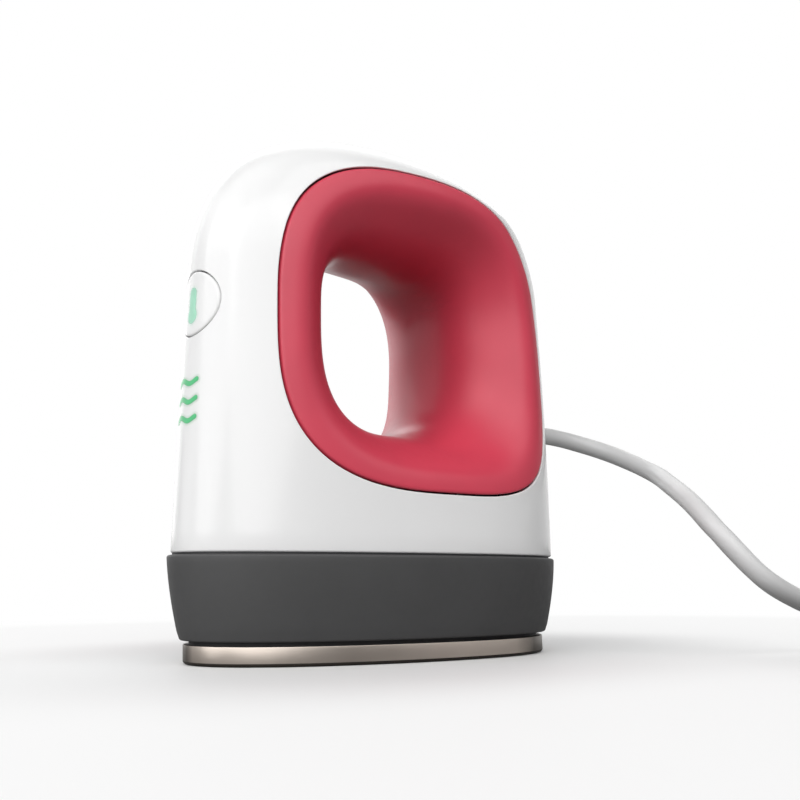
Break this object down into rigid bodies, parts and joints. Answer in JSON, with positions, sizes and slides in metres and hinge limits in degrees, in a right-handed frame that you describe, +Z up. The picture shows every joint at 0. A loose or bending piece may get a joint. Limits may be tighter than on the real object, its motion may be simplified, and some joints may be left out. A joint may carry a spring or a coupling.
{
  "type": "mini heat press",
  "caption": "Palm-sized heat press: iron-shaped heated plate under a tall white shell with a loop handle tunnel, nose power button, rear cord with coil and plug.",
  "frame": {"origin": "middle of the footprint on the surface that the heat plate rests on", "axes": "+Z up; the nose with the power button faces -Y and the cord leaves towards +Y; the handle's tunnel runs along X"},
  "size_m": [0.1665, 0.1308, 0.1051],
  "materials": {
    "white_shell": "glossy white moulded plastic",
    "raspberry_grip": "satin raspberry red soft-touch plastic",
    "charcoal_skirt": "matte charcoal heat-resistant plastic",
    "black_frame": "matte black heat-resistant plastic",
    "rose_plate": "coated aluminium with a satin rose-champagne tone",
    "steel": "plain bright steel",
    "mica_pad": "pressed insulating fibre",
    "board_green": "green circuit board laminate",
    "component_black": "black component plastic",
    "component_yellow": "yellow tape and coil former",
    "terminal_blue": "blue terminal plastic",
    "clear_guide": "clear light-guide acrylic",
    "light_green": "green indicator lens",
    "white_cord": "smooth white flexible PVC",
    "tie_black": "black hook-and-loop strap"
  },
  "bodies": {
    "housing": {"housing_shell": "white_shell", "grip_liner_right": "raspberry_grip", "grip_liner_left": "raspberry_grip", "skirt": "charcoal_skirt", "heat_plate": "rose_plate", "heating_element": "steel", "insulation_pad": "mica_pad", "heat_shield": "steel", "plate_thermistor": "component_black", "thermal_fuse": "steel", "base_frame": "black_frame", "main_board": "board_green", "transformer": "component_yellow", "heater_relay": "component_black", "terminal_block": "terminal_blue", "filter_capacitor": "component_black", "buzzer": "component_black", "heater_wire_right": "component_black", "heater_wire_left": "component_black", "push_switch": "component_black", "nose_board": "board_green", "light_guide": "clear_guide", "strain_relief": "white_cord", "mains_lead": "white_cord", "power_cord": "white_cord", "cord_coil": "white_cord", "coil_tie": "tie_black", "plug_body": "white_cord", "plug_blade_right": "steel", "plug_blade_left": "steel", "plate_screw_1": "steel", "board_screw_1": "steel", "plate_screw_2": "steel", "board_screw_2": "steel", "plate_screw_3": "steel", "board_screw_3": "steel", "plate_screw_4": "steel", "board_screw_4": "steel", "indicator_light_1": "light_green", "indicator_light_2": "light_green", "indicator_light_3": "light_green"},
    "button": {"power_button": "white_shell", "switch_plunger": "component_yellow"}
  },
  "joints": [
    {"name": "button_press", "type": "slide", "parent": "housing", "child": "button", "axis": [0, 1, 0], "range_m": [0, 0.0006], "stiffness_N_per_m": 800, "springref_m": -0.001}
  ]
}
